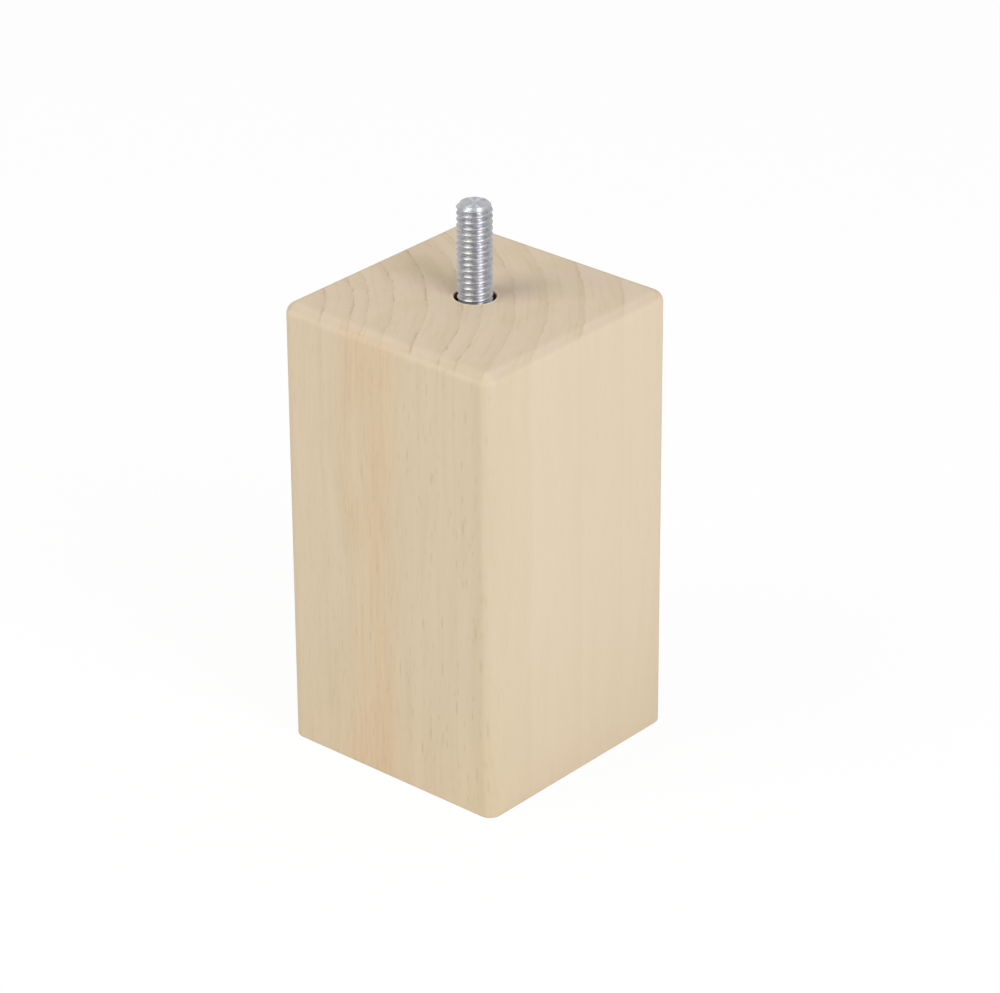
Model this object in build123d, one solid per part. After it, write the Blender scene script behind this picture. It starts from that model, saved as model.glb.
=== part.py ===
from build123d import *
import os
from math import radians, tan

# Wooden bed leg: a square beech block that stands on its foot, with a hanger bolt driven into its top.
# The origin is the middle of the foot and +Z points up along the bolt. Sizes are in millimetres.

# Block
block_side = 60.0
block_height = 108.0
upright_edge_radius = 3.0
top_edge_radius = 2.8
foot_edge_radius = 0.5

# Hanger bolt, from its free end down: machine thread, plain neck, wood-screw part with a gimlet point
thread_diameter = 7.94
stud_length = 22.0
end_chamfer = 0.8
thread_runout = 0.5
neck_diameter = 7.1
wood_screw_diameter = 6.2
wood_screw_length = 30.0
gimlet_length = 9.0
gimlet_tip_diameter = 0.8

# Hole in the top of the block: wide mouth, drill-point shoulder, pilot that the wood screw fills
mouth_clearance = 0.65
mouth_depth = 10.0
rim_chamfer = 0.3
drill_point_angle = 118.0
pilot_spare_depth = 4.0

# Radii and heights that follow from the sizes above
thread_radius = thread_diameter / 2
neck_radius = neck_diameter / 2
pilot_radius = wood_screw_diameter / 2
gimlet_tip_radius = gimlet_tip_diameter / 2
mouth_radius = thread_radius + mouth_clearance
drill_point_slope = tan(radians(drill_point_angle / 2))
stud_top = block_height + stud_length
mouth_floor = block_height - mouth_depth
pilot_top = mouth_floor - (mouth_radius - pilot_radius) / drill_point_slope
bolt_tip = pilot_top - wood_screw_length
gimlet_start = bolt_tip + gimlet_length
pilot_floor = bolt_tip - pilot_spare_depth
drill_tip = pilot_floor - pilot_radius / drill_point_slope


def at(radius, height):
    """Gives the point of a half profile at a radius from the bolt's axis and a height over the foot."""
    return Vector(radius, 0, height)


def turned(*edges):
    """Turns the half profile that the edges enclose once round the bolt's axis."""
    return revolve(make_face(Curve() + list(edges)), Axis.Z)


def make_hole():
    """Makes the space that the drills leave, from the chamfered rim down to the pilot's drill point."""
    return turned(
        Polyline(
            at(0, drill_tip),
            at(pilot_radius, pilot_floor),
            at(pilot_radius, pilot_top),
            at(mouth_radius, mouth_floor),
            at(mouth_radius, block_height - rim_chamfer),
            at(mouth_radius + rim_chamfer, block_height),
            at(0, block_height),
            at(0, drill_tip),
        )
    )


def make_block():
    """Makes the block: sanded upright edges, an eased top, a crisp foot and the stepped hole."""
    block = extrude(RectangleRounded(block_side, block_side, upright_edge_radius), block_height)
    block = fillet(block.faces().sort_by(Axis.Z)[-1].edges(), top_edge_radius)
    block = fillet(block.faces().sort_by(Axis.Z)[0].edges(), foot_edge_radius)
    return block - make_hole()


def make_hanger_bolt():
    """Makes the bolt with both threads as plain walls, and a gimlet point that curves in from the screw."""
    machine_end = Polyline(
        at(0, bolt_tip),
        at(0, stud_top),
        at(thread_radius - end_chamfer, stud_top),
        at(thread_radius, stud_top - end_chamfer),
        at(thread_radius, block_height),
        at(neck_radius, block_height - thread_runout),
        at(neck_radius, mouth_floor),
        at(pilot_radius, pilot_top),
        at(pilot_radius, gimlet_start),
    )
    gimlet = TangentArc(at(pilot_radius, gimlet_start), at(gimlet_tip_radius, bolt_tip), tangent=(0, 0, -1))
    tip_flat = Line(at(gimlet_tip_radius, bolt_tip), at(0, bolt_tip))
    return turned(machine_end, gimlet, tip_flat)


os.makedirs("parts", exist_ok=True)
export_step(make_block(), "parts/leg_block.step")
export_step(make_hanger_bolt(), "parts/hanger_bolt.step")
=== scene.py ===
"""Looks of a wooden bed leg: a square beech block with a zinc-plated hanger bolt in its top.

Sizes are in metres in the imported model's frame. The foot stands on z = 0 and the bolt rises along +Z.
"""

import logging
import math
from collections.abc import Iterator
from contextlib import contextmanager
from dataclasses import dataclass, field
from enum import Enum

import bpy
from mathutils import Matrix, Vector


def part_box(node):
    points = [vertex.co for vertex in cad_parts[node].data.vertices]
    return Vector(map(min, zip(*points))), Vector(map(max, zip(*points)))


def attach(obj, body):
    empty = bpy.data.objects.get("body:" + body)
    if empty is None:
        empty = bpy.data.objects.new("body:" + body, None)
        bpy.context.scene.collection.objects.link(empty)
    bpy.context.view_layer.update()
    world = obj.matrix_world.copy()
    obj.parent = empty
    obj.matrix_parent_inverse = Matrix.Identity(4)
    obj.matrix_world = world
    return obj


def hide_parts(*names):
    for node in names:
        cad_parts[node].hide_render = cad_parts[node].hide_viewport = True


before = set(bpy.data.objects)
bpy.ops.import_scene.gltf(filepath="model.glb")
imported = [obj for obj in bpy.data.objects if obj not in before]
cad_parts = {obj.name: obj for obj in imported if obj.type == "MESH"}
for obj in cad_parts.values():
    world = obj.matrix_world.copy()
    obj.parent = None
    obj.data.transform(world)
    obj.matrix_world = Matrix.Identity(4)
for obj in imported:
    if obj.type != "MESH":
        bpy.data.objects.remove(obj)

Colour = tuple[float, ...]
Span = tuple[float, float]
Triple = tuple[float, float, float]
Band = tuple[float, float, float, float]

MM = 0.001
MERGE_WITHIN = 0.001 * MM
CUT_WITHIN = 0.0001 * MM
WHITE: Colour = (1.0, 1.0, 1.0, 1.0)
log = logging.getLogger("bed_leg")


class Blend(Enum):
    """How one colour is laid over another."""

    MIX = "MIX"
    MULTIPLY = "MULTIPLY"


class Join(Enum):
    """How two closed solids become one."""

    UNION = "UNION"
    INTERSECT = "INTERSECT"


class Signal:
    """A number that varies over a surface. It wraps a node socket, and arithmetic on it adds Math nodes."""

    def __init__(self, graph: "Graph", socket: bpy.types.NodeSocket) -> None:
        """Wraps an output socket of a node tree."""
        self.graph = graph
        self.socket = socket

    def _math(self, operation: str, *values: "Signal | float") -> "Signal":
        """Adds one Math node with this operation and these inputs, and gives its result."""
        node = self.graph.node("ShaderNodeMath", {"operation": operation}, dict(enumerate(values)))
        return Signal(self.graph, node.outputs[0])

    def __add__(self, other: "Signal | float") -> "Signal":
        """Adds."""
        return self._math("ADD", self, other)

    def __radd__(self, other: float) -> "Signal":
        """Adds to a plain number."""
        return self._math("ADD", other, self)

    def __sub__(self, other: "Signal | float") -> "Signal":
        """Subtracts."""
        return self._math("SUBTRACT", self, other)

    def __rsub__(self, other: float) -> "Signal":
        """Subtracts from a plain number."""
        return self._math("SUBTRACT", other, self)

    def __mul__(self, other: "Signal | float") -> "Signal":
        """Multiplies."""
        return self._math("MULTIPLY", self, other)

    def __rmul__(self, other: float) -> "Signal":
        """Multiplies a plain number."""
        return self._math("MULTIPLY", other, self)

    def __truediv__(self, other: "Signal | float") -> "Signal":
        """Divides."""
        return self._math("DIVIDE", self, other)

    def __pow__(self, other: float) -> "Signal":
        """Raises to a power."""
        return self._math("POWER", self, other)

    def __abs__(self) -> "Signal":
        """Drops the sign."""
        return self._math("ABSOLUTE", self)

    def root(self) -> "Signal":
        """Takes the square root."""
        return self._math("SQRT", self)

    def fraction(self) -> "Signal":
        """Drops the whole part."""
        return self._math("FRACT", self)

    def angle_from(self, across: "Signal") -> "Signal":
        """Gives the angle, in radians, of the point that has this height and that distance across."""
        return self._math("ARCTAN2", self, across)

    def rise(self, low: float, high: float, start: float = 0.0, end: float = 1.0) -> "Signal":
        """Goes smoothly from one value to another.

        Args:
            low: Where the change begins. It may be above high.
            high: Where the change ends.
            start: The value at low and past it.
            end: The value at high and past it.

        Returns:
            The changing value.
        """
        if low > high:
            low, high, start, end = high, low, end, start
        inputs = {"Value": self, "From Min": low, "From Max": high, "To Min": start, "To Max": end}
        node = self.graph.node("ShaderNodeMapRange", {"interpolation_type": "SMOOTHSTEP"}, inputs)
        return Signal(self.graph, node.outputs["Result"])

    def fade(self, begins: float, full: float, fades: float, ends: float) -> "Signal":
        """Gives a soft band, 1 from full to fades and 0 before it begins and after it ends."""
        return self.rise(begins, full) * self.rise(ends, fades)


Place = tuple[Signal, Signal, Signal]


class Graph:
    """The node tree of a material or of the world, filled node by node."""

    def __init__(self, tree: bpy.types.NodeTree) -> None:
        """Empties a node tree, ready to be filled."""
        self.tree = tree
        tree.nodes.clear()

    def node(self, kind: str, settings: dict | None = None, inputs: dict | None = None) -> bpy.types.Node:
        """Adds one node.

        Args:
            kind: The node's type.
            settings: The node's own settings, set first. Stops are a ramp's pairs of position and colour.
            inputs: Values, colours, sockets or signals for its inputs, by name or number.

        Returns:
            The node.
        """
        made = self.tree.nodes.new(kind)
        for name, value in (settings or {}).items():
            if name == "stops":
                self._set_stops(made.color_ramp, value)
            else:
                setattr(made, name, value)
        for name, value in (inputs or {}).items():
            if isinstance(value, Signal):
                value = value.socket
            if isinstance(value, bpy.types.NodeSocket):
                self.tree.links.new(value, made.inputs[name])
            else:
                made.inputs[name].default_value = value
        return made

    @staticmethod
    def _set_stops(ramp: bpy.types.ColorRamp, stops: list[tuple[float, tuple]]) -> None:
        """Gives a ramp its stops.

        Args:
            ramp: A new ramp, which has two stops.
            stops: Pairs of position and colour, two or more.
        """
        for _ in stops[2:]:
            ramp.elements.new(0.5)
        for element, (position, colour) in zip(ramp.elements, sorted(stops)):
            element.position = position
            element.color = colour

    def mix(self, amount: Signal | float, first: object, second: object, blend: Blend = Blend.MIX) -> object:
        """Lays the second colour over the first, by an amount from 0 to 1, and gives the mix's socket."""
        settings = {"data_type": "RGBA", "blend_type": blend.value}
        return self.node("ShaderNodeMix", settings, {0: amount, 6: first, 7: second}).outputs[2]

    def place(self) -> Place:
        """Gives the place of a surface point on its own object, in metres along X, Y and Z."""
        return self._parts(self.node("ShaderNodeTexCoord").outputs["Object"])

    def _parts(self, point: bpy.types.NodeSocket) -> Place:
        """Takes a point or a direction apart into its X, Y and Z."""
        outputs = self.node("ShaderNodeSeparateXYZ", inputs={0: point}).outputs
        return tuple(Signal(self, output) for output in outputs)

    def _scaled(self, place: Place, grain: Triple) -> bpy.types.NodeSocket:
        """Measures a place in grains and puts it together as a point."""
        shares = {number: along / size for number, (along, size) in enumerate(zip(place, grain))}
        return self.node("ShaderNodeCombineXYZ", inputs=shares).outputs[0]

    def facing_up(self) -> Signal:
        """Tells how far the surface faces up, from -1 to 1."""
        return self._parts(self.node("ShaderNodeNewGeometry").outputs["Normal"])[2]

    def noise(self, place: Place, grain: Triple, detail: float = 2.0, roughness: float = 0.5) -> Signal:
        """Adds soft noise, from 0 to 1 and about 0.5 on average.

        Args:
            place: Where it is read.
            grain: How long its grains are each way.
            detail: How many finer layers it has.
            roughness: How strong the finer layers are.

        Returns:
            The noise.
        """
        point = self._scaled(place, grain)
        inputs = {"Vector": point, "Scale": 1.0, "Detail": detail, "Roughness": roughness}
        return Signal(self, self.node("ShaderNodeTexNoise", inputs=inputs).outputs[0])

    def cells(self, place: Place, grain: Triple) -> tuple[Signal, Signal]:
        """Scatters one seed in each cell.

        Args:
            place: Where the cells are read.
            grain: How long a cell is each way.

        Returns:
            The distance to the nearest seed, and that seed's own chance number from 0 to 1.
        """
        inputs = {"Vector": self._scaled(place, grain), "Scale": 1.0, "Randomness": 1.0}
        node = self.node("ShaderNodeTexVoronoi", {"feature": "F1"}, inputs)
        chance = self.node("ShaderNodeSeparateColor", inputs={0: node.outputs["Color"]}).outputs[0]
        return Signal(self, node.outputs["Distance"]), Signal(self, chance)

    def bump(self, height: Signal, depth: float, strength: float) -> bpy.types.NodeSocket:
        """Turns a height from 0 to 1 into a normal, where 1 stands for the depth in metres."""
        inputs = {"Height": height, "Distance": depth, "Strength": strength}
        return self.node("ShaderNodeBump", inputs=inputs).outputs[0]

    def surface(self, inputs: dict) -> None:
        """Ends a material in one shader with these inputs."""
        shader = self.node("ShaderNodeBsdfPrincipled", inputs=inputs)
        self.node("ShaderNodeOutputMaterial", inputs={"Surface": shader.outputs[0]})


def new_material(name: str) -> tuple[bpy.types.Material, Graph]:
    """Starts a material.

    Args:
        name: The material's name.

    Returns:
        The material and its empty node tree.
    """
    material = bpy.data.materials.new(name)
    material.use_nodes = True
    return material, Graph(material.node_tree)


@dataclass(frozen=True)
class GrowthRings:
    """Rings that go slowly from open wood to dense wood and end in a thin, broken dark line.

    Attributes:
        radii: How far out from the pith each ring ends, in millimetres.
        waver: How far a ring strays from its circle.
        waver_grain: The size of the noise that leads it astray, out from the pith, round it and up.
        gap_grain: The size of the noise that breaks the lines, in the same order.
        gap_level: The levels of that noise between which a gap closes.
        lateness: How late in a ring its wood grows dense, as a power.
        line_share: The shares of a ring's width between which its line comes in.
        faint_reach: The distances from the pith between which the lines grow faint.
        faint: How much of them is left past that.
    """

    radii: tuple[float, ...] = (
        46.5, 53.0, 59.3, 62.6, 68.2, 75.6, 83.1, 87.4, 94.5, 101.5, 109.7, 118.0, 126.0
    )
    waver: float = 1.3 * MM
    waver_grain: Triple = (9 * MM, 6 * MM, 70 * MM)
    gap_grain: Triple = (3 * MM, 5 * MM, 40 * MM)
    gap_level: Span = (0.45, 0.63)
    lateness: float = 2.5
    line_share: Span = (0.88, 0.98)
    faint_reach: Span = (88 * MM, 98 * MM)
    faint: float = 0.42

    def draw(self, graph: Graph, tree: Place) -> tuple[Signal, Signal]:
        """Draws the rings.

        Args:
            graph: The material's nodes.
            tree: The reach, the way round the pith and the height.

        Returns:
            How dense the wood is, and the strength of the line, each from 0 to 1.
        """
        reach = tree[0]
        astray = graph.noise(tree, self.waver_grain, detail=4.0, roughness=0.7) - 0.5
        strayed = reach + astray * (2 * self.waver)
        first, last, count = self.radii[0], self.radii[-1], len(self.radii) - 1
        stops = []
        for number, radius in enumerate(self.radii):
            level = number / count
            stops.append(((radius - first) / (last - first), (level, level, level, 1.0)))
        position = (strayed - first * MM) / ((last - first) * MM)
        ramp = graph.node("ShaderNodeValToRGB", {"stops": stops}, {0: position})
        grown = (Signal(graph, ramp.outputs[0]) * count).fraction()
        unbroken = graph.noise(tree, self.gap_grain).rise(*self.gap_level)
        line = grown.rise(*self.line_share) * unbroken * reach.rise(*self.faint_reach, 1.0, self.faint)
        return grown ** self.lateness, line


@dataclass(frozen=True)
class Rays:
    """One sort of ray: thin plates that run out from the pith, cut to dashes or flecks.

    Attributes:
        grain: The size of the cells that the rays lie in, round the pith, out from it and up.
        edge: The distances from a cell's seed between which its ray comes in.
        chance: The chance numbers between which a cell's ray comes in.
        strength: The strength of a full ray.
        scarce_reach: The distances from the pith between which rays grow scarce.
        scarce: How much of them is left past that.
    """

    grain: Triple
    edge: Span
    chance: Span
    strength: float
    scarce_reach: Span = (88 * MM, 104 * MM)
    scarce: float = 0.30

    def draw(self, graph: Graph, tree: Place) -> Signal:
        """Draws the rays.

        Args:
            graph: The material's nodes.
            tree: The reach, the way round the pith and the height.

        Returns:
            The strength of the rays, from 0 to 1.
        """
        reach, round_pith, z = tree
        distance, chance = graph.cells((round_pith, reach, z), self.grain)
        strength = chance.rise(*self.chance, 0.0, self.strength)
        return distance.rise(*self.edge) * strength * reach.rise(*self.scarce_reach, 1.0, self.scarce)


@dataclass(frozen=True)
class Beech:
    """Sanded beech, cut from one plank, so that rings, rays and fibres run through the whole block.

    A tint is what the wood's colour is multiplied by, and a reach is a distance out from the pith. A grain is
    the size of a noise along X, Y and Z, or out from the pith, round it and up. A level is the pair of values
    of that noise between which its mark comes in.

    Attributes:
        pith: Where the tree's heart line stood beside the block, along X and Y.
        mean_reach: The middle reach, where an angle round the pith is turned into a length.
        rings: The growth rings.
        fine_rays: The many thin rays.
        bold_rays: The few thick rays.
        cut_across: How far a face looks up or down between which it turns from side grain to end grain.
        pale: The colour of the wood.
        rosy: The tint of the warmer wood nearer the heart.
        rosy_reach: Where the warm wood begins, is full, begins to fade and ends.
        rosy_level: The level of the clouds that deepen it.
        rosy_least: How much of it shows outside those clouds.
        streak: The tint of two long pale streaks inside the warm wood.
        streak_reaches: How far out each streak runs.
        streak_width: How wide a streak is.
        streak_level: The level of the bands that break them.
        foot: The tint at the very foot: painted shade, a little darker and yellower towards the bottom.
        foot_shade_height: How far up the sides the painted shade at the foot fades out.
        honey_and_shade: The tint along the front edge: yellower wood, and painted shade that dims the lit
            rounding of the corner.
        honey_shade_reach: Where the yellower wood and its painted shade begin, are full, begin to fade and
            end.
        pinkish: The tint of pinkish clouds in end grain.
        pinkish_level: Their level.
        olive: The tint of olive clouds in end grain.
        olive_level: Their level.
        late_wood: The tint of dense, dark wood.
        late_strength: Its strength in rings on the sides, and what end grain adds.
        ring_line: The tint of the line that ends a ring.
        line_strength: Its strength on the sides, and what end grain adds.
        sheen: The tint of a bright fibre.
        fleck: The tint of a ray.
        fleck_loss: How much less of the rays shows in end grain.
        end_grain: The tint of end grain.
        blush: The tint of the eased edge, between end grain and side grain.
        blush_gain: How quickly that tint comes in.
        lean: How far the grain leans from side to side.
        lean_grain: The grain of that lean.
        fibre_grain: The grain of the fibres.
        dark_fibre_level: The level of the dark fibres.
        dark_fibre_strength: Their strength in lively wood and in warm wood.
        pale_fibre_level: The level of the bright fibres.
        pale_fibre_strength: Their strength in lively wood and in warm wood.
        ripple_grain: The grain of the ripples that follow the rings in end grain.
        ripple_level: Their level.
        ripple_strength: Their strength.
        band_grain: The grain of the bands that run up the sides.
        dark_band_level: The level of the dark bands.
        pale_band_level: The level of the bright bands.
        cloud_grain: The grain of the clouds.
        pore_grain: The grain of the pores.
        pore_level: Their level.
        pore_strength: Their strength in end grain.
        calm_reach: The reaches between which side grain grows calm.
        lively: How lively it is before, and after.
        bore_wall_and_shade: The colour inside the hole: a darker drilled wall, and painted shade in the gap
            round the bolt.
        bore_radius: The radius within which the wood belongs to the hole.
        bore_edge: How far outside it that colour fades out.
        bore_foot: The heights, under the hole's drill point, between which its colours come in.
        rim: The tint of the paler wood round the hole, which the drill has roughened.
        rim_radius: That wood's outer radius.
        rim_edge: How far inside it the tint is full.
        roughness: The roughness of the smoothest wood, and what fibres and end grain add to it.
        specular: How strongly it shines.
        relief: How deep the surface's relief is.
        relief_strength: How much of the relief shows.
        relief_shares: How far rays, fibres and bold rays lie below the surface, as shares of it.
    """

    pith: Span = (-62.3 * MM, -58.8 * MM)
    mean_reach: float = 80 * MM
    rings: GrowthRings = GrowthRings()
    fine_rays: Rays = Rays((0.26 * MM, 3 * MM, 3.6 * MM), (0.44, 0.16), (0.45, 0.95), 0.52)
    bold_rays: Rays = Rays((0.32 * MM, 3.5 * MM, 7.0 * MM), (0.36, 0.14), (0.82, 0.95), 0.75)
    cut_across: Span = (0.30, 0.90)
    pale: Colour = (0.672, 0.561, 0.408, 1.0)
    rosy: Colour = (0.990, 0.925, 0.885, 1.0)
    rosy_reach: Band = (54 * MM, 61 * MM, 67 * MM, 75 * MM)
    rosy_level: Span = (0.30, 0.60)
    rosy_least: float = 0.35
    streak: Colour = (1.045, 1.040, 1.020, 1.0)
    streak_reaches: Span = (61.6 * MM, 67.0 * MM)
    streak_width: float = 1.6 * MM
    streak_level: Span = (0.35, 0.60)
    foot: Colour = (0.990, 0.975, 0.955, 1.0)
    foot_shade_height: float = 48 * MM
    honey_and_shade: Colour = (0.968, 0.966, 0.928, 1.0)
    honey_shade_reach: Band = (89 * MM, 94.5 * MM, 97.5 * MM, 102 * MM)
    pinkish: Colour = (1.0, 0.970, 1.000, 1.0)
    pinkish_level: Span = (0.48, 0.66)
    olive: Colour = (0.965, 0.963, 0.930, 1.0)
    olive_level: Span = (0.50, 0.34)
    late_wood: Colour = (0.94, 0.92, 0.88, 1.0)
    late_strength: Span = (0.25, 0.70)
    ring_line: Colour = (0.82, 0.79, 0.73, 1.0)
    line_strength: Span = (0.04, 0.80)
    sheen: Colour = (1.045, 1.040, 1.030, 1.0)
    fleck: Colour = (0.86, 0.82, 0.74, 1.0)
    fleck_loss: float = 0.92
    end_grain: Colour = (0.928, 0.931, 0.968, 1.0)
    blush: Colour = (0.965, 0.952, 0.962, 1.0)
    blush_gain: float = 4.0
    lean: float = 7 * MM
    lean_grain: Triple = (30 * MM, 30 * MM, 42 * MM)
    fibre_grain: Triple = (0.85 * MM, 1.0 * MM, 13 * MM)
    dark_fibre_level: Span = (0.46, 0.72)
    dark_fibre_strength: Span = (0.36, 0.50)
    pale_fibre_level: Span = (0.46, 0.28)
    pale_fibre_strength: Span = (0.40, 0.50)
    ripple_grain: Triple = (1.1 * MM, 14 * MM, 60 * MM)
    ripple_level: Span = (0.48, 0.74)
    ripple_strength: float = 0.80
    band_grain: Triple = (2.6 * MM, 3.5 * MM, 46 * MM)
    dark_band_level: Span = (0.50, 0.72)
    pale_band_level: Span = (0.48, 0.30)
    cloud_grain: Triple = (9 * MM, 9 * MM, 34 * MM)
    pore_grain: Triple = (0.3 * MM, 0.3 * MM, 4 * MM)
    pore_level: Span = (0.55, 0.80)
    pore_strength: float = 0.5
    calm_reach: Span = (92 * MM, 100 * MM)
    lively: Span = (0.5, 0.2)
    bore_wall_and_shade: Colour = (0.16, 0.10, 0.05, 1.0)
    bore_radius: float = 4.66 * MM
    bore_edge: float = 0.05 * MM
    bore_foot: Span = (30 * MM, 40 * MM)
    rim: Colour = (1.25, 1.25, 1.30, 1.0)
    rim_radius: float = 5.5 * MM
    rim_edge: float = 0.45 * MM
    roughness: Triple = (0.66, 0.10, 0.08)
    specular: float = 0.30
    relief: float = 0.03 * MM
    relief_strength: float = 0.35
    relief_shares: Triple = (0.5, 0.3, 0.2)

    def material(self) -> bpy.types.Material:
        """Makes the material.

        Returns:
            The beech material.
        """
        material, graph = new_material("beech_sanded")
        place = graph.place()
        x, y, z = place
        tree = self._from_pith(x, y, z)
        reach, round_pith, _ = tree
        cut_across = abs(graph.facing_up()).rise(*self.cut_across)
        along_grain = 1.0 - cut_across
        dense, line = self.rings.draw(graph, tree)
        bold_rays = self.bold_rays.draw(graph, tree)
        rays = self.fine_rays.draw(graph, tree) + bold_rays
        leaning = reach + (graph.noise(place, self.lean_grain, detail=1.0) - 0.5) * self.lean
        leant = (leaning, round_pith, z)
        fibres = graph.noise(leant, self.fibre_grain, detail=3.0, roughness=0.6)
        bands = graph.noise(leant, self.band_grain)
        ripples = graph.noise(tree, self.ripple_grain, detail=3.0, roughness=0.6)
        clouds = graph.noise(place, self.cloud_grain)
        pores = graph.noise(place, self.pore_grain, detail=1.0)

        heart = leaning.fade(*self.rosy_reach) * along_grain
        rosy = heart * clouds.rise(*self.rosy_level, self.rosy_least, 1.0)
        streaks = self._streaks(leaning) * bands.rise(*self.streak_level) * along_grain
        # Painted shade: the rounded front corner is darkened where the lamps light it, together with yellower
        # wood.
        honey_and_shade = reach.fade(*self.honey_shade_reach) * along_grain
        late_sides, late_ends = self.late_strength
        line_sides, line_ends = self.line_strength
        ripple_marks = ripples.rise(*self.ripple_level) * cut_across * self.ripple_strength
        lively = reach.rise(*self.calm_reach, *self.lively) * along_grain
        dark_lively, dark_heart = self.dark_fibre_strength
        dark_fibres = fibres.rise(*self.dark_fibre_level) * (dark_lively * lively + dark_heart * heart)
        pale_lively, pale_heart = self.pale_fibre_strength
        pale_fibres = fibres.rise(*self.pale_fibre_level) * (pale_lively * lively + pale_heart * heart)
        pore_marks = pores.rise(*self.pore_level) * cut_across * self.pore_strength
        from_axis = (x * x + y * y).root()
        drilled = z.rise(*self.bore_foot)
        rim = from_axis.rise(self.rim_radius, self.rim_radius - self.rim_edge) * drilled
        in_bore = from_axis.rise(self.bore_radius + self.bore_edge, self.bore_radius) * drilled

        colour = self.pale
        for amount, tint in (
            (rosy, self.rosy),
            (streaks, self.streak),
            # Painted shade: the wood is made a little darker and yellower towards the foot.
            (z.rise(self.foot_shade_height, 0.0), self.foot),
            (honey_and_shade, self.honey_and_shade),
            (clouds.rise(*self.pinkish_level) * cut_across, self.pinkish),
            (clouds.rise(*self.olive_level) * cut_across, self.olive),
            (dense * (late_sides + late_ends * cut_across), self.late_wood),
            (line * (line_sides + line_ends * cut_across), self.ring_line),
            (ripple_marks, self.late_wood),
            (bands.rise(*self.dark_band_level) * lively, self.late_wood),
            (bands.rise(*self.pale_band_level) * lively, self.sheen),
            (dark_fibres, self.late_wood),
            (pale_fibres, self.sheen),
            (rays * (1.0 - self.fleck_loss * cut_across), self.fleck),
            (pore_marks, self.late_wood),
            (cut_across, self.end_grain),
            (cut_across * along_grain * self.blush_gain, self.blush),
            (rim, self.rim),
        ):
            colour = graph.mix(amount, colour, tint, Blend.MULTIPLY)
        # Painted shade: the inside of the hole is coloured dark brown, over a darker drilled wall.
        colour = graph.mix(in_bore, colour, self.bore_wall_and_shade)

        smooth, fibrous, open_ends = self.roughness
        roughness = smooth + fibrous * fibres + open_ends * cut_across
        ray_depth, fibre_depth, bold_depth = self.relief_shares
        height = 1.0 - ray_depth * rays - fibre_depth * fibres - bold_depth * bold_rays
        bump = graph.bump(height, self.relief, self.relief_strength)
        inputs = {"Base Color": colour, "Roughness": roughness, "Normal": bump}
        graph.surface(inputs | {"Specular IOR Level": self.specular})
        return material

    def _from_pith(self, x: Signal, y: Signal, z: Signal) -> Place:
        """Measures the place of a point in the tree.

        Args:
            x: The point's X.
            y: The point's Y.
            z: The point's Z.

        Returns:
            The reach, the way round the pith and the height.
        """
        across, along = x - self.pith[0], y - self.pith[1]
        reach = (across * across + along * along).root()
        return reach, along.angle_from(across) * self.mean_reach, z

    def _streaks(self, leaning: Signal) -> Signal:
        """Draws the two pale streaks along the leaning grain, 1 in the middle of each."""
        inner, outer = (abs(leaning - far).rise(self.streak_width, 0.0) for far in self.streak_reaches)
        return inner + outer


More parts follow.
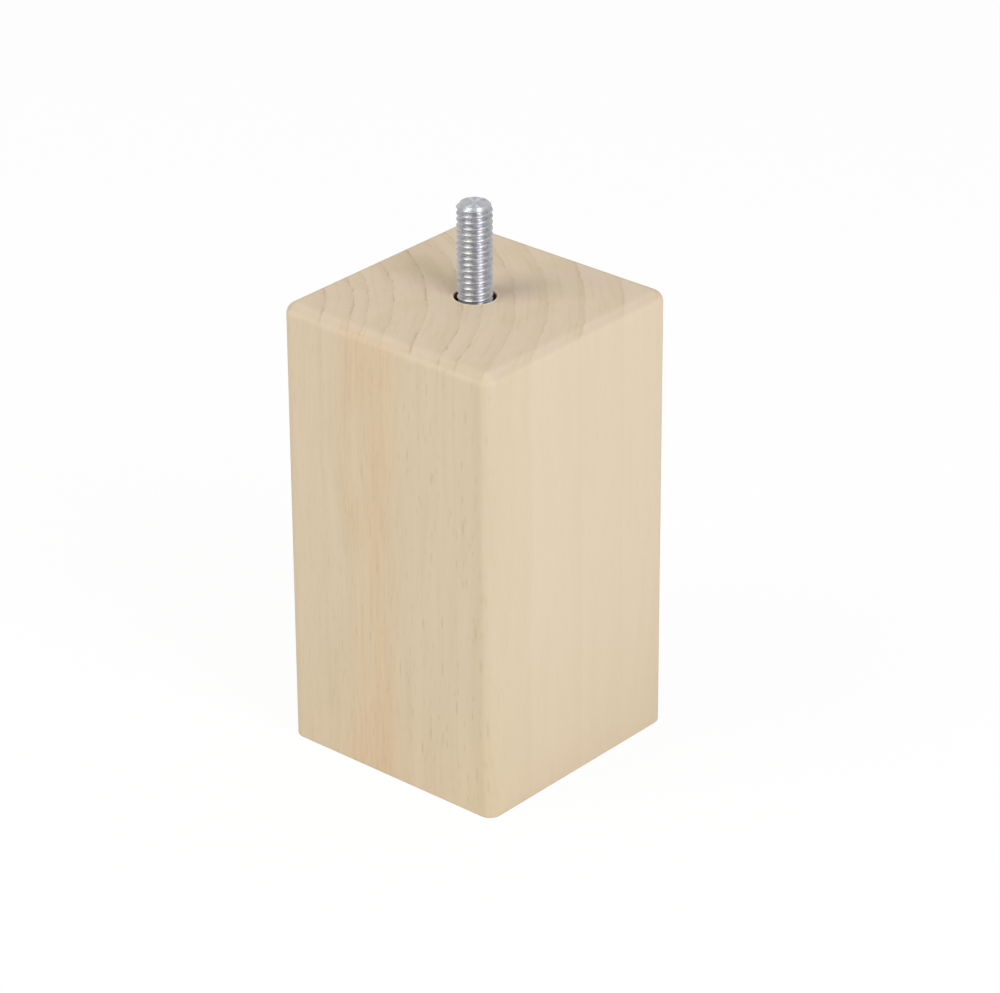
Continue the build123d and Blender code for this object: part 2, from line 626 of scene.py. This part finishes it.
@dataclass(frozen=True)
class ZincPlate:
    """Bright zinc on rolled steel: patchy and spotted, with fine rolling marks round it.

    Attributes:
        bright: The colour of clean plate.
        cool: The colour of bluish plate.
        cool_level: The levels of the patches between which the plate turns bluish.
        warm: The colour of yellowish plate.
        warm_level: The levels of the patches between which the plate turns yellowish.
        groove: What the colour is multiplied by at the bottom of a groove: painted light, which brightens the
            plate there against the grooves' own shade.
        groove_reach: The radii between which a groove fades out to its crest.
        scuff: What the colour is multiplied by in a scuffed spot.
        scuff_level: The levels of the spots between which a scuff comes in.
        scuff_loss: How much less of the scuffs shows on the flat end.
        flat_end: How far up a face looks between which it becomes the flat end.
        patch_size: The size of the patches.
        spot_size: The size of the spots.
        roughness: The roughness of the smoothest plate, and what patches and spots add to it.
        relief: How deep the surface's relief is.
        relief_strength: How much of the relief shows.
        relief_shares: The shares of spots and patches in it.
        brushed: How far a highlight is drawn out across the rolling marks, from 0 to 1.
        brushed_turn: The turn of the marks, as a share of a round, that draws it out along the bolt.
    """

    bright: Colour = (0.505, 0.505, 0.520, 1.0)
    cool: Colour = (0.405, 0.415, 0.450, 1.0)
    cool_level: Span = (0.44, 0.66)
    warm: Colour = (0.445, 0.445, 0.425, 1.0)
    warm_level: Span = (0.46, 0.30)
    groove: Colour = (1.16, 1.16, 1.16, 1.0)
    groove_reach: Span = (3.15 * MM, 3.80 * MM)
    scuff: Colour = (0.70, 0.71, 0.74, 1.0)
    scuff_level: Span = (0.50, 0.72)
    scuff_loss: float = 0.7
    flat_end: Span = (0.90, 0.99)
    patch_size: float = 1.6 * MM
    spot_size: float = 0.35 * MM
    roughness: Triple = (0.31, 0.14, 0.10)
    relief: float = 0.05 * MM
    relief_strength: float = 0.6
    relief_shares: Span = (0.6, 0.4)
    brushed: float = 0.90
    brushed_turn: float = 0.25

    def material(self) -> bpy.types.Material:
        """Makes the material.

        Returns:
            The zinc material.
        """
        material, graph = new_material("zinc_bright")
        place = graph.place()
        x, y, _ = place
        from_axis = (x * x + y * y).root()
        flat_end = abs(graph.facing_up()).rise(*self.flat_end)
        patches = graph.noise(place, (self.patch_size,) * 3, detail=3.0, roughness=0.6)
        spots = graph.noise(place, (self.spot_size,) * 3)
        colour = graph.mix(patches.rise(*self.cool_level), self.bright, self.cool)
        colour = graph.mix(patches.rise(*self.warm_level), colour, self.warm)
        bottom, crest = self.groove_reach
        # Painted light: the plate is made brighter towards the bottom of each groove, lifting the grooves'
        # shade.
        groove_light = from_axis.rise(crest, bottom) * (1.0 - flat_end)
        colour = graph.mix(groove_light, colour, self.groove, Blend.MULTIPLY)
        scuffed = spots.rise(*self.scuff_level) * (1.0 - self.scuff_loss * flat_end)
        colour = graph.mix(scuffed, colour, self.scuff, Blend.MULTIPLY)
        smooth, patchy, spotted = self.roughness
        roughness = smooth + patchy * patches + spotted * spots
        spot_share, patch_share = self.relief_shares
        height = spot_share * spots + patch_share * patches
        bump = graph.bump(height, self.relief, self.relief_strength)
        inputs = {"Base Color": colour, "Metallic": 1.0, "Roughness": roughness, "Normal": bump}
        graph.surface(inputs | {"Anisotropic": self.brushed, "Anisotropic Rotation": self.brushed_turn})
        return material


class Bench:
    """Modelling moves, each made with Blender's own operators on one piece at a time."""

    @staticmethod
    def pick(piece: bpy.types.Object) -> None:
        """Selects one piece alone and makes it the active one.

        Args:
            piece: The piece.
        """
        bpy.ops.object.select_all(action="DESELECT")
        piece.select_set(True)
        bpy.context.view_layer.objects.active = piece

    @staticmethod
    @contextmanager
    def editing(piece: bpy.types.Object) -> Iterator[None]:
        """Opens a piece in edit mode with its whole mesh selected, and leaves edit mode afterwards.

        Args:
            piece: The piece.

        Yields:
            Nothing, while edit mode is on.
        """
        Bench.pick(piece)
        bpy.ops.object.mode_set(mode="EDIT")
        bpy.ops.mesh.select_all(action="SELECT")
        yield
        bpy.ops.object.mode_set(mode="OBJECT")

    @staticmethod
    def finish_modifier(piece: bpy.types.Object, kind: str, **settings: object) -> None:
        """Adds a modifier and applies it.

        Args:
            piece: The piece it changes.
            kind: The modifier's type.
            settings: The modifier's settings.
        """
        Bench.pick(piece)
        modifier = piece.modifiers.new(kind.lower(), kind)
        for name, value in settings.items():
            setattr(modifier, name, value)
        bpy.ops.object.modifier_apply(modifier=modifier.name)

    @staticmethod
    def profile(name: str, points: list[tuple[float, float]]) -> bpy.types.Object:
        """Draws half a section: one point is put down and extruded from place to place.

        Args:
            name: The new piece's name.
            points: Radius and height of each point in order.

        Returns:
            The piece, an open chain of edges in the XZ plane.
        """
        bpy.ops.object.select_all(action="DESELECT")
        radius, height = points[0]
        bpy.ops.mesh.primitive_plane_add(size=MM, location=(radius, 0.0, height))
        piece = bpy.context.object
        piece.name = piece.data.name = name
        bpy.ops.object.transform_apply(location=True, rotation=True, scale=True)
        with Bench.editing(piece):
            bpy.ops.mesh.merge(type="CENTER")
            for (old_radius, old_height), (radius, height) in zip(points, points[1:]):
                step = (radius - old_radius, 0.0, height - old_height)
                bpy.ops.mesh.extrude_region_move(TRANSFORM_OT_translate={"value": step})
        return piece

    @staticmethod
    def close(piece: bpy.types.Object) -> None:
        """Merges the doubles of a turned mesh and points its faces outwards.

        Args:
            piece: The piece.
        """
        with Bench.editing(piece):
            bpy.ops.mesh.remove_doubles(threshold=MERGE_WITHIN)
            bpy.ops.mesh.normals_make_consistent(inside=False)

    @staticmethod
    def turn(name: str, points: list[tuple[float, float]], steps: int) -> bpy.types.Object:
        """Turns a closed solid about the Z axis.

        Args:
            name: The new piece's name.
            points: Half its section, from the axis at one end to the axis at the other.
            steps: How many flats make the round.

        Returns:
            The piece.
        """
        piece = Bench.profile(name, points)
        with Bench.editing(piece):
            bpy.ops.mesh.spin(steps=steps, angle=math.tau, center=(0.0, 0.0, 0.0), axis=(0.0, 0.0, 1.0))
        Bench.close(piece)
        return piece

    @staticmethod
    def thread(
        name: str, turn: list[tuple[float, float]], low: float, high: float, steps: int
    ) -> bpy.types.Object:
        """Winds one turn of a right-hand thread up the Z axis and cuts both ends square.

        Args:
            name: The new piece's name.
            turn: Radius and height of one turn of the thread's section, one pitch high.
            low: The height of the lower end.
            high: The height of the upper end.
            steps: How many flats make the round.

        Returns:
            The piece, a closed solid.
        """
        pitch = turn[-1][1] - turn[0][1]
        spare_turns = 1.5
        start = low - spare_turns * pitch
        turns = math.ceil((high - low) / pitch) + round(2 * spare_turns)
        piece = Bench.profile(name, [(radius, start + rise) for radius, rise in turn])
        Bench.finish_modifier(
            piece,
            "SCREW",
            axis="Z",
            angle=math.tau,
            screw_offset=pitch,
            iterations=turns,
            steps=steps,
            render_steps=steps,
            use_merge_vertices=True,
            merge_threshold=MERGE_WITHIN,
        )
        Bench.close(piece)
        cut = {"plane_no": (0.0, 0.0, 1.0), "use_fill": True, "threshold": CUT_WITHIN}
        for height, ends in ((low, {"clear_inner": True}), (high, {"clear_outer": True})):
            with Bench.editing(piece):
                bpy.ops.mesh.bisect(plane_co=(0.0, 0.0, height), **cut, **ends)
        Bench.close(piece)
        return piece

    @staticmethod
    def join(piece: bpy.types.Object, other: bpy.types.Object, how: Join) -> None:
        """Joins another solid to a piece, as a whole or as what both share, and removes the other."""
        Bench.finish_modifier(piece, "BOOLEAN", operation=how.value, object=other, solver="EXACT")
        bpy.data.objects.remove(other)


@dataclass
class LegBlock:
    """The square block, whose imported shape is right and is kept.

    Attributes:
        finish: The wood.
        node: The CAD node.
    """

    finish: Beech = field(default_factory=Beech)
    node: str = "leg_block"

    def dress(self) -> bpy.types.Object:
        """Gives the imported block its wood.

        Returns:
            The block.
        """
        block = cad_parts[self.node]
        wood = self.finish.material()
        for material_slot in block.material_slots:
            material_slot.material = wood
        return block


@dataclass
class HangerBolt:
    """The hanger bolt, with both of its threads, in place of the plain CAD node.

    Attributes:
        finish: The plating.
        node: The CAD node that it replaces.
        pitch: The machine thread's pitch.
        thread_depth: How deep the machine thread is.
        thread_points: How many steps draw one turn of its rolled, rounded section.
        end_chamfer: How far the free end is bevelled.
        blank_spare: How far the blank that trims the thread stands outside it.
        neck_radius: The plain neck's radius.
        neck_top: How far under the block's top the neck begins.
        neck_foot: How far under the block's top the neck ends.
        neck_lead: How far under the machine thread the neck's upper cone begins.
        neck_overlap: How far the neck runs down into the wood screw.
        core_gap: How far the neck's ends stay inside the threads that they fill.
        runout: How far the machine thread takes to reach its depth.
        root_radius: The wood screw's radius between its turns.
        screw_top: How far under the block's top the wood screw begins.
        screw_pitch: The wood screw's pitch.
        screw_depth: How deep the wood screw's thread is.
        screw_shares: The shares of its turn at which the ridge begins, is full and begins to fall.
        screw_overlap: How far the wood screw runs up into the neck.
        gimlet_length: How long the tapered point is.
        gimlet_tip: The tip's share of the shank's width.
        flats: How many flats make the round of a thread.
        neck_flats: How many flats make the round of the neck.
        smooth_angle: The angle between faces up to which they are shaded as one, in degrees.
    """

    finish: ZincPlate = field(default_factory=ZincPlate)
    node: str = "hanger_bolt"
    pitch: float = 1.411 * MM
    thread_depth: float = 0.866 * MM
    thread_points: int = 12
    end_chamfer: float = 0.8 * MM
    blank_spare: float = 0.4 * MM
    neck_radius: float = 3.55 * MM
    neck_top: float = 4.5 * MM
    neck_foot: float = 10.0 * MM
    neck_lead: float = 0.27 * MM
    neck_overlap: float = 0.5 * MM
    core_gap: float = 0.1 * MM
    runout: float = 2.0 * MM
    root_radius: float = 3.1 * MM
    screw_top: float = 11.0 * MM
    screw_pitch: float = 2.8 * MM
    screw_depth: float = 0.75 * MM
    screw_shares: Triple = (0.60, 0.78, 0.82)
    screw_overlap: float = 0.3 * MM
    gimlet_length: float = 9.0 * MM
    gimlet_tip: float = 0.13
    flats: int = 72
    neck_flats: int = 67
    smooth_angle: float = 38.0

    def __post_init__(self) -> None:
        """Takes the bolt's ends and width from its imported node, and its steps from the block's top."""
        lowest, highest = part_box(self.node)
        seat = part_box("leg_block")[1].z
        self.tip = lowest.z
        self.top = highest.z
        self.crest_radius = highest.x
        self.thread_start = seat - self.neck_top
        self.shoulder_top = seat - self.neck_foot
        self.shoulder_foot = seat - self.screw_top

    def build(self) -> bpy.types.Object:
        """Models the bolt as one closed mesh.

        Returns:
            The bolt.
        """
        bolt = self._machine_thread()
        Bench.join(bolt, self._neck(), Join.UNION)
        Bench.join(bolt, self._wood_screw(), Join.UNION)
        bolt.name = bolt.data.name = "threaded_hanger_bolt"
        Bench.close(bolt)
        Bench.pick(bolt)
        bpy.ops.object.shade_smooth_by_angle(angle=math.radians(self.smooth_angle))
        return bolt

    def dress(self, bolt: bpy.types.Object) -> None:
        """Plates the bolt and puts it in the place of its CAD node.

        Args:
            bolt: The finished mesh.
        """
        bolt.data.materials.clear()
        bolt.data.materials.append(self.finish.material())
        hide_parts(self.node)
        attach(bolt, "root")

    def _machine_thread(self) -> bpy.types.Object:
        """Winds the machine thread and turns its free end to a chamfer.

        Returns:
            The thread, from the neck to the bolt's top.
        """
        turn = []
        for step in range(self.thread_points + 1):
            share = step / self.thread_points
            sunk = self.thread_depth * (1.0 - math.cos(math.tau * share)) / 2
            turn.append((self.crest_radius - sunk, self.pitch * share))
        thread = Bench.thread("machine_thread", turn, self.thread_start, self.top + self.pitch, self.flats)
        outside = self.crest_radius + self.blank_spare
        blank = Bench.turn(
            "machine_blank",
            [
                (0.0, self.thread_start - self.pitch),
                (outside, self.thread_start - self.pitch),
                (outside, self.top - self.end_chamfer - self.blank_spare),
                (self.crest_radius - self.end_chamfer, self.top),
                (0.0, self.top),
            ],
            self.flats,
        )
        Bench.join(thread, blank, Join.INTERSECT)
        return thread

    def _neck(self) -> bpy.types.Object:
        """Turns the plain neck, with a cone at its top that fills the first turns of the machine thread.

        Its cone starts under the end of the thread, and it has flats of its own, so no edges of the two
        fall together.

        Returns:
            The neck.
        """
        machine_core = self.crest_radius - self.thread_depth - self.core_gap
        screw_core = self.root_radius - self.core_gap
        return Bench.turn(
            "neck",
            [
                (0.0, self.shoulder_foot - self.neck_overlap),
                (screw_core, self.shoulder_foot - self.neck_overlap),
                (screw_core, self.shoulder_foot),
                (self.neck_radius, self.shoulder_top),
                (self.neck_radius, self.thread_start - self.neck_lead),
                (machine_core, self.thread_start + self.runout),
                (0.0, self.thread_start + self.runout),
            ],
            self.neck_flats,
        )

    def _wood_screw(self) -> bpy.types.Object:
        """Winds the coarse thread that bites into the wood, and draws its lower end in to a gimlet point.

        Returns:
            The wood screw.
        """
        ridge = self.root_radius + self.screw_depth
        begins, full, falls = (share * self.screw_pitch for share in self.screw_shares)
        turn = [
            (self.root_radius, 0.0),
            (self.root_radius, begins),
            (ridge, full),
            (ridge, falls),
            (self.root_radius, self.screw_pitch),
        ]
        point_start = self.tip + self.gimlet_length
        low, high = -self.gimlet_length, self.shoulder_foot + self.screw_overlap - point_start
        screw = Bench.thread("wood_screw", turn, low, high, self.flats)
        straight_share = self.gimlet_length / (high - low)
        Bench.finish_modifier(
            screw,
            "SIMPLE_DEFORM",
            deform_method="TAPER",
            deform_axis="Z",
            factor=1.0 - self.gimlet_tip,
            limits=(0.0, straight_share),
        )
        screw.location.z = point_start
        Bench.pick(screw)
        bpy.ops.object.transform_apply(location=True, rotation=True, scale=True)
        return screw


@dataclass(frozen=True)
class SoftLamp:
    """One square soft lamp that faces the object.

    Attributes:
        name: The lamp's name.
        towards: The level direction from the object to the lamp, along X and Y.
        elevation: The lamp's height over the level, in degrees.
        size: The side of its screen.
        power: Its power in watts.
        colour: Its colour.
        distance: How far it stands from the middle of the object.
    """

    name: str
    towards: Span
    elevation: float
    size: float
    power: float
    colour: tuple[float, float, float]
    distance: float = 1.2

    def hang(self, middle: Vector) -> None:
        """Hangs the lamp.

        Args:
            middle: The middle of the object, which the lamp faces.
        """
        height = math.radians(self.elevation)
        level = Vector((*self.towards, 0.0)).normalized() * math.cos(height)
        direction = level + Vector((0.0, 0.0, math.sin(height)))
        turned = direction.to_track_quat("Z", "Y").to_euler()
        bpy.ops.object.light_add(type="AREA", location=middle + direction * self.distance, rotation=turned)
        lamp = bpy.context.object
        lamp.name = self.name
        lamp.data.size = self.size
        lamp.data.energy = self.power
        lamp.data.color = self.colour


@dataclass(frozen=True)
class Studio:
    """A white floor and soft lamps.

    Attributes:
        floor_size: The floor's side.
        floor_grey: How much light the floor sends back to the object.
        shade: How much of the floor's look is its own shading, so that the object's shadow stays on it.
        sky: How strongly the white room lights the object.
        sky_colour: The slight warmth of that light.
        lamps: The lamps. The last is weak and low, and lifts the side that looks along +X.
    """

    floor_size: float = 8.0
    floor_grey: Colour = (0.92, 0.92, 0.92, 1.0)
    shade: float = 0.06
    sky: float = 0.48
    sky_colour: Colour = (1.0, 0.99, 0.945, 1.0)
    lamps: tuple[SoftLamp, ...] = (
        SoftLamp("key_lamp", (0.978, -0.208), 39.0, size=0.52, power=6.3, colour=(0.985, 1.0, 1.08)),
        SoftLamp("side_lamp", (-0.43, -0.90), 52.0, size=0.65, power=5.75, colour=(1.0, 0.985, 0.92)),
        SoftLamp("fill_lamp", (0.995, 0.10), 8.0, size=0.80, power=1.5, colour=(1.0, 1.01, 1.07)),
    )

    def build(self) -> None:
        """Lays the floor, whitens the room and hangs the lamps."""
        self._lay_floor()
        self._whiten_room()
        middle = Vector((0.0, 0.0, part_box("leg_block")[1].z / 2))
        for lamp in self.lamps:
            lamp.hang(middle)

    def _seen_white(self, graph: Graph) -> Signal:
        """Tells the rays that show the background from those that light the object.

        Args:
            graph: The nodes of the floor or of the world.

        Returns:
            1 for what the camera, metal or glass sees, and 0 for the rest.
        """
        path = graph.node("ShaderNodeLightPath")
        seen = Signal(graph, path.outputs["Is Camera Ray"])
        for ray in ("Is Glossy Ray", "Is Transmission Ray"):
            seen = seen + Signal(graph, path.outputs[ray])
        return seen.rise(0.0, 1.0)

    def _lay_floor(self) -> None:
        """Adds the floor, which is white to the eye but keeps the object's shadow."""
        bpy.ops.object.select_all(action="DESELECT")
        bpy.ops.mesh.primitive_plane_add(size=self.floor_size, location=(0.0, 0.0, 0.0))
        floor = bpy.context.object
        floor.name = "floor"
        material, graph = new_material("floor_white")
        matt = graph.node("ShaderNodeBsdfDiffuse", inputs={"Color": self.floor_grey})
        glow = graph.node("ShaderNodeEmission", inputs={"Color": WHITE, "Strength": 1.0})
        amount = self._seen_white(graph) * (1.0 - self.shade)
        mixed = graph.node("ShaderNodeMixShader", inputs={0: amount, 1: matt.outputs[0], 2: glow.outputs[0]})
        graph.node("ShaderNodeOutputMaterial", inputs={"Surface": mixed.outputs[0]})
        floor.data.materials.append(material)

    def _whiten_room(self) -> None:
        """Makes the world white to the eye and a soft, slightly warm light for the object."""
        world = bpy.data.worlds.new("white_room")
        world.use_nodes = True
        graph = Graph(world.node_tree)
        seen = self._seen_white(graph)
        colour = graph.mix(seen, self.sky_colour, WHITE)
        strength = seen.rise(0.0, 1.0, self.sky, 1.0)
        background = graph.node("ShaderNodeBackground", inputs={"Color": colour, "Strength": strength})
        graph.node("ShaderNodeOutputWorld", inputs={"Surface": background.outputs[0]})
        bpy.context.scene.world = world


@dataclass(frozen=True)
class PhotoCamera:
    """The camera, at the photograph's angle and framing.

    Attributes:
        azimuth: How far it stands round from the -Y side towards +X, in degrees.
        elevation: How far it looks down, in degrees.
        roll: How far it leans, in degrees.
        distance: How far it stands from the middle of the block.
        block_right: How far the middle of the block lies right of the picture's middle.
        block_up: How far the middle of the block lies over the picture's middle.
        lens: Its focal length in millimetres.
        film_width: The width of the frame that the focal length is for, in millimetres.
        sight: How far it sees.
    """

    azimuth: float = 41.08
    elevation: float = 27.00
    roll: float = -0.31
    distance: float = 1001.9 * MM
    block_right: float = -5.16 * MM
    block_up: float = -4.34 * MM
    lens: float = 161.58
    film_width: float = 36.0
    sight: float = 20.0

    def build(self) -> bpy.types.Object:
        """Adds the camera and makes it the scene's own.

        Returns:
            The camera.
        """
        turn, tilt, lean = (math.radians(angle) for angle in (self.azimuth, self.elevation, self.roll))
        back = Vector((math.sin(turn) * math.cos(tilt), -math.cos(turn) * math.cos(tilt), math.sin(tilt)))
        level = Vector((math.cos(turn), math.sin(turn), 0.0))
        upright = back.cross(level)
        right = math.cos(lean) * level + math.sin(lean) * upright
        up = math.cos(lean) * upright - math.sin(lean) * level
        middle = Vector((0.0, 0.0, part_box("leg_block")[1].z / 2))
        eye = middle + self.distance * back - self.block_right * right - self.block_up * up
        bpy.ops.object.camera_add()
        camera = bpy.context.object
        camera.name = "photo_camera"
        camera.matrix_world = Matrix.Translation(eye) @ Matrix((right, up, back)).transposed().to_4x4()
        camera.data.lens = self.lens
        camera.data.sensor_width = self.film_width
        camera.data.clip_end = self.sight
        bpy.context.scene.camera = camera
        return camera


def main() -> None:
    """Builds the whole scene in order and reports each piece."""
    logging.basicConfig(level=logging.INFO, format="%(name)s: %(message)s")
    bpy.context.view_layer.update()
    bpy.context.scene.view_settings.view_transform = "Standard"

    camera = PhotoCamera().build()
    log.info("%s set, %.0f mm lens", camera.name, camera.data.lens)
    Studio().build()
    log.info("floor, room and lamps set")

    block = LegBlock().dress()
    log.info("%s dressed in %s", block.name, block.active_material.name)
    hanger_bolt = HangerBolt()
    bolt = hanger_bolt.build()
    hanger_bolt.dress(bolt)
    log.info("%s built with %d faces", bolt.name, len(bolt.data.polygons))


if __name__ == "__main__":
    main()
